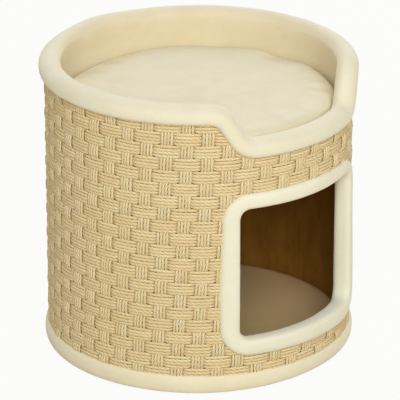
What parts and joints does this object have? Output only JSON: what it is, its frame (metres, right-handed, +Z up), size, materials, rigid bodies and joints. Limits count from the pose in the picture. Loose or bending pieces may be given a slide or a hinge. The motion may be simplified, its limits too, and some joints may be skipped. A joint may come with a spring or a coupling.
{
  "type": "cat condo",
  "caption": "Round two-level cat house: woven cord drum with a padded square doorway, plush rolls, and a recessed top bed with a loose cushion behind a dipped rim.",
  "frame": {"origin": "centre of the footprint, on the floor", "axes": "+Z up, -Y towards the front, which is the way the doorway and the dip in the rim face"},
  "size_m": [0.3996, 0.4, 0.38],
  "materials": {
    "plush_trim": "short plush pile, cream",
    "plush_lining": "short plush pile, warm cream",
    "plush_cushion": "short plush pile, cream",
    "woven_cord": "twisted paper cord in a basket weave, natural straw",
    "fibreboard": "bare brown hardboard",
    "board": "bare fibreboard",
    "softwood": "sawn pine",
    "steel": "zinc plated",
    "foam": "open-cell foam",
    "glide": "moulded brown",
    "dust_cloth": "spunbonded black cloth"
  },
  "bodies": {
    "house": {"rim_cover": "plush_trim", "door_cover": "plush_trim", "base_cover": "plush_trim", "bed_lining": "plush_lining", "deck_cover": "plush_lining", "floor_cover": "plush_lining", "woven_cover": "woven_cord", "wall_shell": "fibreboard", "seam_strip": "fibreboard", "base_board": "board", "deck_board": "board", "deck_cleat_1": "softwood", "deck_cleat_2": "softwood", "deck_cleat_3": "softwood", "deck_cleat_4": "softwood", "deck_cleat_5": "softwood", "deck_cleat_6": "softwood", "seam_staples": "steel", "tuck_staples": "steel", "cleat_screws": "steel", "deck_screws": "steel", "base_screws": "steel", "base_foam": "foam", "rim_foam": "foam", "door_foam": "foam", "glide_foot_1": "glide", "glide_foot_2": "glide", "glide_foot_3": "glide", "glide_foot_4": "glide", "glide_foot_5": "glide", "glide_foot_6": "glide", "base_dust_cloth": "dust_cloth"},
    "cushion": {"cushion_foam": "foam", "cushion_top": "plush_cushion", "cushion_base": "plush_cushion"}
  },
  "joints": [
    {"name": "cushion_lift", "type": "slide", "parent": "house", "child": "cushion", "axis": [0, 0, 1], "range_m": [0, 0.12]}
  ]
}
